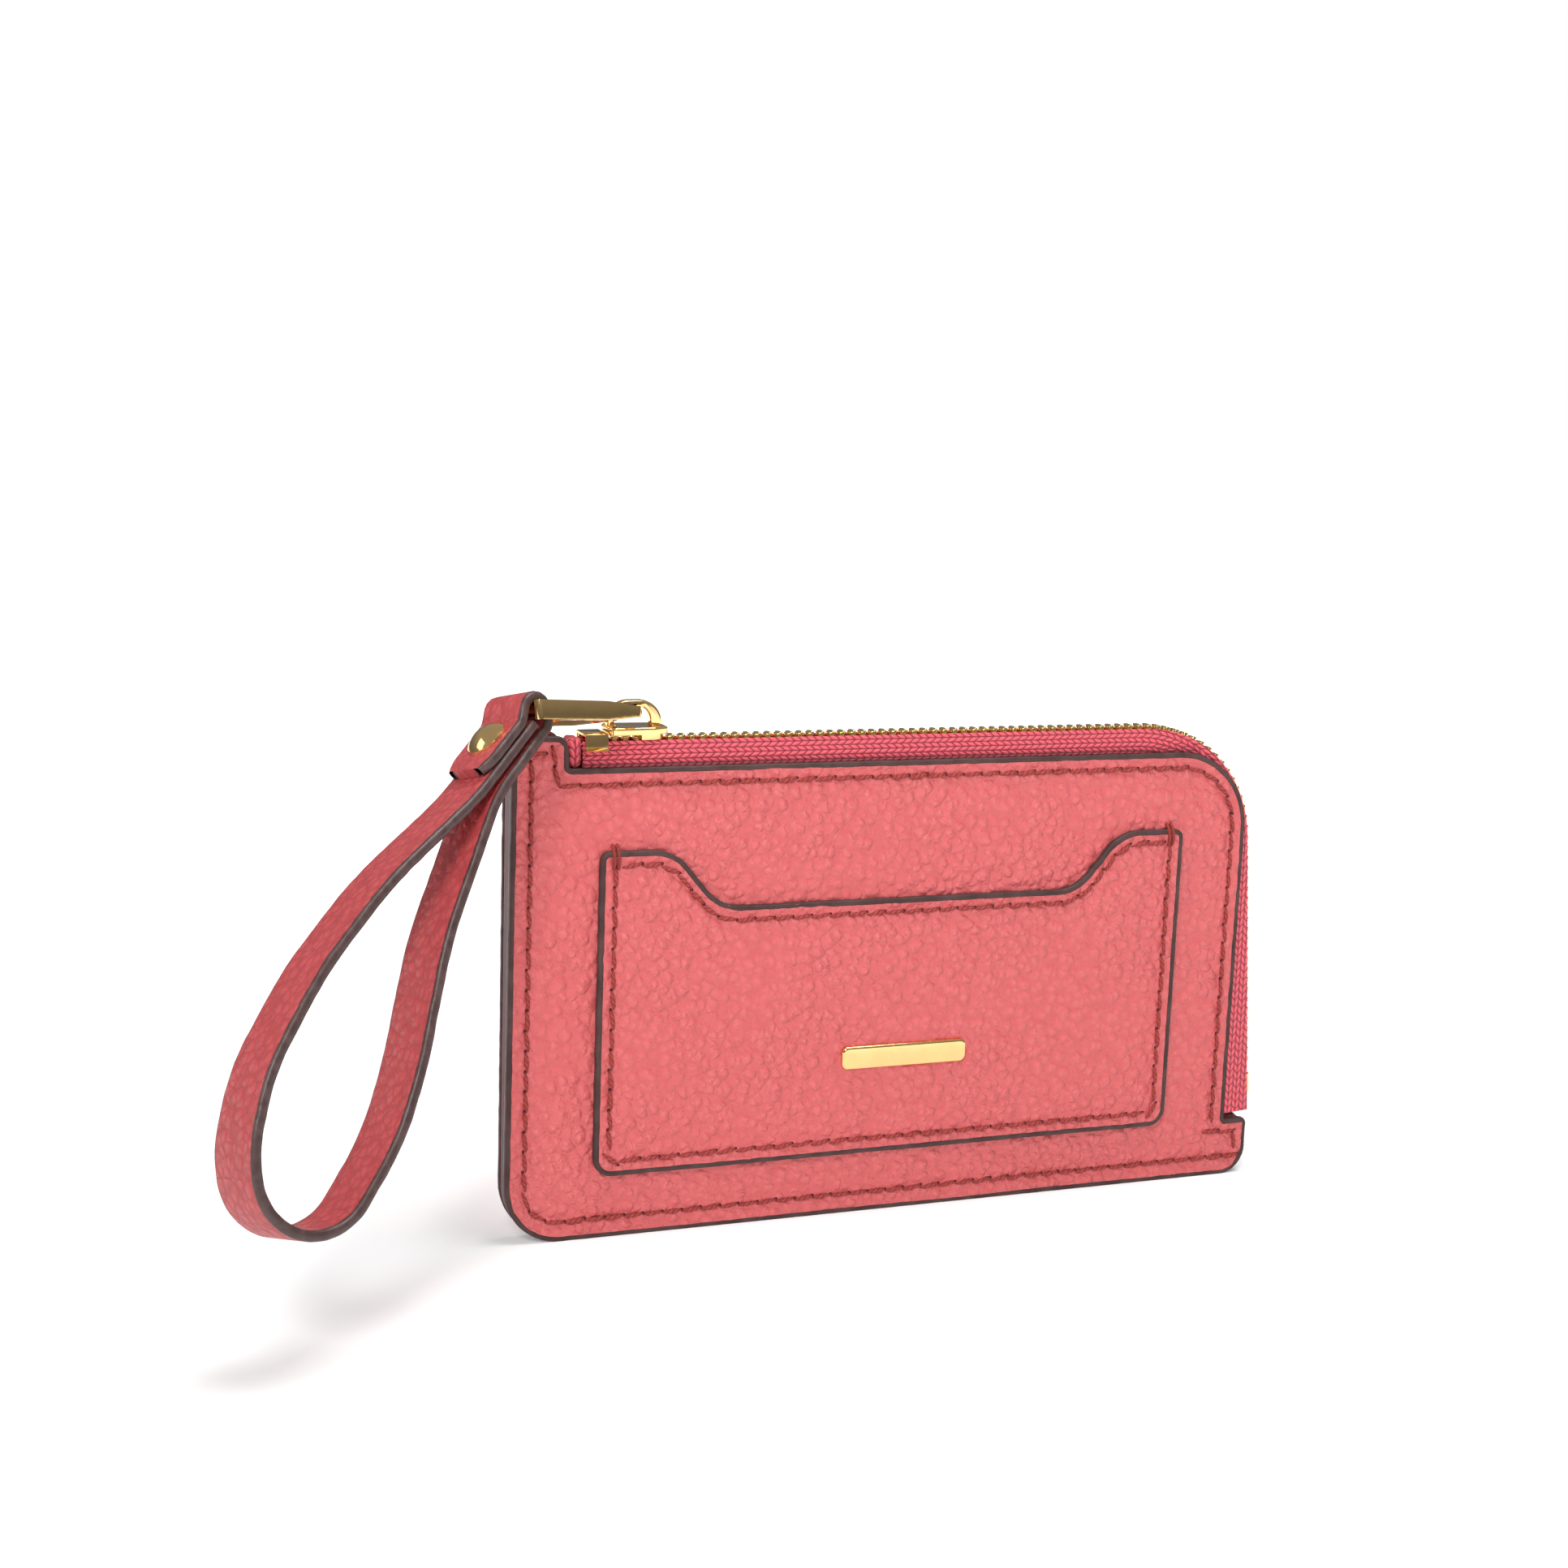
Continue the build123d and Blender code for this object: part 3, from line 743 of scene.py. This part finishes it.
# wrist strap
strapShape = {
    # middle of the strap in its own plane, from the riveted tab, round the bar and the loop,
    # back to the end under the tab: right, up and corner radius, in millimetres
    "route": [
        (-11.65, -8.59, 0), (-3.03, -1.61, 2.5), (-1.5, 2.3, 2.2), (2.3, 2.3, 2.29),
        (2.3, -2.5, 2.6), (-9.5, -12.4, 25), (-22.6, -33.2, 60), (-30.0, -51.0, 60),
        (-35.6, -61.1, 40), (-46.12, -71.7, 10.05), (-60.4, -71.7, 10.05), (-60.4, -57.4, 20),
        (-56.0, -46.9, 30), (-45.2, -34.3, 60), (-31.5, -23.0, 80), (-13.6, -12.5, 40),
        (-0.61, -2.05, 0)],
    "width": 10.5,
    "thickness": 1.74,
    "round": 0.72,
    "step": 0.9,
    "ripple": 0.07 * mm,
    "grain": 0.66,                # pebbles per millimetre
    "paintRim": (4.72, 4.86),     # paint starts this far from the strap's middle line
    "paintTip": (0.70, 0.95),     # and this far from its end
}


def roundedRoute(route, step):
    # points along the route, with its corners turned into arcs
    points = []
    for before, here, after in zip(route, route[1:], route[2:]):
        corner = Vector(here[:2])
        back = (Vector(before[:2]) - corner).normalized()
        ahead = (Vector(after[:2]) - corner).normalized()
        half = back.angle(ahead) / 2
        reach = here[2] / tan(half)
        centre = corner + (back + ahead).normalized() * here[2] / sin(half)
        first, last = corner + back * reach - centre, corner + ahead * reach - centre
        turn = atan2(first.x * last.y - first.y * last.x, first.dot(last))
        count = max(3, round(abs(turn) * here[2] / step))
        arc = [centre + Matrix.Rotation(turn * i / count, 2) @ first for i in range(count + 1)]
        points += arc
    points = [Vector(route[0][:2])] + points + [Vector(route[-1][:2])]
    even = [points[0]]
    for a, b in zip(points, points[1:]):
        count = max(1, round((b - a).length / step))
        even += [a.lerp(b, i / count) for i in range(1, count + 1)]
    return even


def strapPlane():
    swing = joints["strap_swing"]
    across = Vector(swing["axis"]).normalized()
    right = Vector((across.y, -across.x, 0)).normalized()
    up = across.cross(right) * -1
    up = up if up.z > 0 else -up
    place = Matrix((right, up, -across)).transposed().to_4x4()
    return Matrix.Translation(swing["pos_m"]) @ place


def strapLeather():
    look = Finish("strapLeather")
    along, across = look.uv()
    place = look.place()
    bent = look.wire("CombineXYZ", None, {0: along * 0.9, 1: across, 2: 0.0})
    height, crease, dome = pebbleHeight(look, bent, strapShape["grain"])
    # painted shade darkens the creases and a painted highlight lightens each dome; the noise adds
    # random tone. The first colour below is the painted shade, the second the strap leather
    tone = (crease * 0.3 + dome * 0.4 + look.noise(place, 0.5, 3.0) * 0.6).atMost(1.0)
    base = look.mix(tone, (0.31, 0.034, 0.037), (0.48, 0.068, 0.072))
    ragged = look.noise(place, 1.1, 3.0) * 0.35
    rim = (across.size() + ragged).step(*strapShape["paintRim"])
    tips = 1 - (along + ragged).step(*strapShape["paintTip"])
    painted = rim.maths("MAXIMUM", rim, tips)
    streak = look.noise(place, 0.6, 3.0)
    brown = look.mix(streak.step(0.3, 0.75), leatherLook["paint"], leatherLook["paintLight"])
    base = look.mix(painted, base, brown)
    height = height * (1 - painted) + (1.15 + streak * 0.5) * painted
    rough = (0.50 - crease * 0.06) * (1 - painted) + (0.33 + streak * 0.12) * painted
    return look.surface(base, rough, height, 0.30 * mm, 0.9, Specular_IOR_Level=0.45)


def makeStrap():
    shape = strapShape
    line = roundedRoute(shape["route"], shape["step"])
    halfT, halfW, r = shape["thickness"] / 2, shape["width"] / 2, shape["round"]
    corners = []
    for cx, cy, start in ((halfT - r, halfW - r, 0), (-halfT + r, halfW - r, 90),
                          (-halfT + r, -halfW + r, 180), (halfT - r, -halfW + r, 270)):
        for i in range(5):
            angle = radians(start + 22.5 * i)
            corners.append((cx + r * cos(angle), cy + r * sin(angle)))
    strap = swept("wristStrap", [(place.x * mm, place.y * mm) for place in line],
                  [(x * mm, y * mm) for x, y in corners], False)
    # distance along the strap at each point of its middle line
    travelled = [0.0]
    for a, b in zip(line, line[1:]):
        travelled.append(travelled[-1] + (b - a).length)
    ringSize = len(corners)
    ringCount = len(line)
    alongAt, acrossAt = [], []
    for vertex in strap.data.vertices:
        ring = min(vertex.index // ringSize, ringCount - 1)
        alongAt.append(travelled[ring])
        acrossAt.append(vertex.co.z / mm)
        # narrows over the first few millimetres
        tip = min(travelled[ring], halfW)
        width = sqrt(max(halfW ** 2 - (halfW - tip) ** 2, 0.04)) / halfW
        vertex.co.z *= width
    setUv(strap, lambda index: (alongAt[index], acrossAt[index]))
    strap.data.transform(strapPlane())
    for vertex, normal in zip(strap.data.vertices, normalsOf(strap)):
        vertex.co += normal * shape["ripple"] * noise.noise(vertex.co * 500)
    editAll(strap)
    bpy.ops.mesh.normals_make_consistent(inside=False)
    endEdit()
    smooth(strap, 60)
    return finishPiece(strap, "strap", "strap_leather", "strap_outer", "strap_inner",
                       materials=[strapLeather()])


makeStrap()
stage("strap done")


# rivet
rivetShape = {"radius": 3.5 * mm, "dome": 1.45 * mm, "rim": 0.35 * mm}


def rivetDome():
    shape = rivetShape
    cap = copyOf("rivet_cap", "capPlace")
    face = max(cap.data.polygons, key=lambda f: f.area)
    outward = -face.normal.copy()
    centre = sum((cap.data.vertices[i].co for i in face.vertices), Vector()) / len(face.vertices)
    bpy.data.objects.remove(cap)
    deselect()
    bpy.ops.mesh.primitive_uv_sphere_add(segments=48, ring_count=24, radius=1.0)
    dome = bpy.context.object
    dome.name = "rivetCapDomed"
    editAll(dome)
    bpy.ops.mesh.bisect(plane_co=(0, 0, 0), plane_no=(0, 0, 1), clear_inner=True, use_fill=True)
    endEdit()
    for vertex in dome.data.vertices:
        spread = hypot(vertex.co.x, vertex.co.y)
        raised = vertex.co.z > 0.001 or spread > 0.99 and vertex.co.z > 0
        vertex.co.z = shape["dome"] * max(0.0, 1 - spread ** 2.0) + (shape["rim"] if raised else 0)
        vertex.co.x *= shape["radius"]
        vertex.co.y *= shape["radius"]
    turn = Vector((0, 0, 1)).rotation_difference(outward).to_matrix().to_4x4()
    dome.data.transform(Matrix.Translation(centre) @ turn)
    smooth(dome, 40)
    return finishPiece(dome, "strap", "gold_hardware", "rivet_cap", materials=[brightGold])


rivetDome()


# tack threads over the pocket's corners
tackShape = {"thick": 0.30 * mm, "below": 2.9 * mm, "above": 1.3 * mm, "gap": 0.40 * mm}


def tackThreads():
    low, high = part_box("card_pocket")
    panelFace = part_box("front_panel")[0].y
    tackLow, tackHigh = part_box("bar_tacks")
    pieces = []
    for middle in (tackLow.x + 0.72 * mm, tackHigh.x - 0.72 * mm):
        for strand in (-1, 1):
            curve = bpy.data.curves.new("tack", "CURVE")
            curve.dimensions = "3D"
            curve.bevel_depth = tackShape["thick"]
            curve.bevel_resolution = 3
            curve.resolution_u = 6
            spline = curve.splines.new("NURBS")
            x = middle + strand * tackShape["gap"]
            face = low.y - 0.06 * mm
            route = [(x, face + 0.5 * mm, high.z - tackShape["below"]),
                     (x, face - 0.12 * mm, high.z - tackShape["below"] + 0.3 * mm),
                     (x + 0.1 * mm, face - 0.20 * mm, high.z - 1.2 * mm),
                     (x - 0.1 * mm, face - 0.16 * mm, high.z + 0.15 * mm),
                     (x, panelFace - 0.25 * mm, high.z + tackShape["above"] - 0.3 * mm),
                     (x, panelFace + 0.45 * mm, high.z + tackShape["above"])]
            spline.points.add(len(route) - 1)
            for point, place in zip(spline.points, route):
                point.co = (*place, 1)
            spline.order_u = 3
            spline.use_endpoint_u = True
            curve.use_fill_caps = True
            activate(linked("tack", curve))
            bpy.ops.object.convert(target="MESH")
            pieces.append(bpy.context.object)
    tacks = joined(pieces, "cornerTacks")
    smooth(tacks, 60)
    return finishPiece(tacks, "root", "thread", "bar_tacks", materials=[seamThread])


tackThreads()
stage("rivet and tacks done")


# CAD nodes that stay
for node, material in {
    "front_lining": liningCloth, "back_lining": liningCloth, "pocket_lining": paint,
    "front_board": boardStock, "back_board": boardStock, "edge_stay": paint,
}.items():
    data = nodes[node].data
    data.materials.clear()
    data.materials.append(material)


# camera, floor and light
view = {"place": (-169.261, -368.166, 146.536), "turn": (80.1186, -2.1637, -21.4396), "lens": 53.93}
cameraData = bpy.data.cameras.new("camera")
cameraData.lens = view["lens"]
cameraData.sensor_width = 36
cameraData.clip_start = 0.01
camera = linked("camera", cameraData)
camera.location = Vector(view["place"]) * mm
camera.rotation_euler = [radians(angle) for angle in view["turn"]]
bpy.context.scene.camera = camera

studio = {
    "floor": (0.82, 0.82, 0.82), "glowNear": 0.20, "glowFar": 0.90, "reach": (0.10, 0.42),
    "world": 0.35, "dark": 0.38,
    "lamps": [  # place and aim in metres, size in metres, watts
        ("topLamp", (0.10, -0.10, 0.95), (0.0, 0.0, 0.04), 0.45, 6.0),
        ("frontLamp", (-0.55, -0.80, 0.85), (0.0, 0, 0.04), 0.30, 7.4),
        ("leftLamp", (-0.95, 0.15, 0.55), (0.0, 0, 0.05), 0.4, 1.0),
    ],
}


def makeFloor():
    deselect()
    bpy.ops.mesh.primitive_plane_add(size=12, location=(0, 0, cadBox[0][2]))
    floor = bpy.context.object
    floor.name = "floor"
    bpy.ops.object.transform_apply(location=True, rotation=True, scale=True)
    look = Finish("paleFloor")
    grain = look.noise(look.place((1, 1, 1)), 4.0, 2.0)
    tone = look.mix(grain, studio["floor"], tuple(c * 0.99 for c in studio["floor"]))
    parts = look.node("SeparateXYZ", None, {0: look.place((1, 1, 1))})
    x, y = Wire(look, parts.outputs[0]), Wire(look, parts.outputs[1])
    away = ((x * x + y * y) ** 0.5).step(*studio["reach"])
    near, far = studio["glowNear"], studio["glowFar"]
    glow = look.mix(away, (near, near, near), (far, far, far))
    look.surface(tone, 0.9, Specular_IOR_Level=0.05, Emission_Color=glow, Emission_Strength=1.0)
    floor.data.materials.append(look.material)


def makeLamps():
    for name, place, aim, size, power in studio["lamps"]:
        data = bpy.data.lights.new(name, "AREA")
        data.shape, data.size, data.energy = "SQUARE", size, power
        lamp = linked(name, data)
        lamp.location = place
        lamp.rotation_euler = (Vector(aim) - Vector(place)).to_track_quat("-Z", "Y").to_euler()


def makeWorld():
    world = bpy.data.worlds.new("studio")
    bpy.context.scene.world = world
    world.use_nodes = True
    tree = world.node_tree
    tree.nodes.clear()
    output = tree.nodes.new("ShaderNodeOutputWorld")
    shade = tree.nodes.new("ShaderNodeBackground")
    white = tree.nodes.new("ShaderNodeBackground")
    white.inputs["Color"].default_value = (1, 1, 1, 1)
    white.inputs["Strength"].default_value = 1.0
    coords = tree.nodes.new("ShaderNodeTexCoord")
    parts = tree.nodes.new("ShaderNodeSeparateXYZ")
    ramp = tree.nodes.new("ShaderNodeValToRGB")
    stops = ramp.color_ramp.elements
    stops[0].position, stops[0].color = 0.0, (studio["dark"], studio["dark"], studio["dark"], 1)
    stops[1].position, stops[1].color = 0.55, (1, 1, 1, 1)
    tree.links.new(coords.outputs["Generated"], parts.inputs[0])
    tree.links.new(parts.outputs[2], ramp.inputs[0])
    path = tree.nodes.new("ShaderNodeLightPath")
    pick = tree.nodes.new("ShaderNodeMixShader")
    shade.inputs["Strength"].default_value = studio["world"]
    glossy = tree.nodes.new("ShaderNodeMix")
    glossy.data_type = "RGBA"
    tree.links.new(path.outputs["Is Glossy Ray"], glossy.inputs[0])
    glossy.inputs[6].default_value = (1, 1, 1, 1)
    tree.links.new(ramp.outputs[0], glossy.inputs[7])
    tree.links.new(glossy.outputs[2], shade.inputs["Color"])
    tree.links.new(path.outputs["Is Camera Ray"], pick.inputs[0])
    tree.links.new(shade.outputs[0], pick.inputs[1])
    tree.links.new(white.outputs[0], pick.inputs[2])
    tree.links.new(pick.outputs[0], output.inputs[0])


makeFloor()
makeLamps()
makeWorld()
stage("stage done")
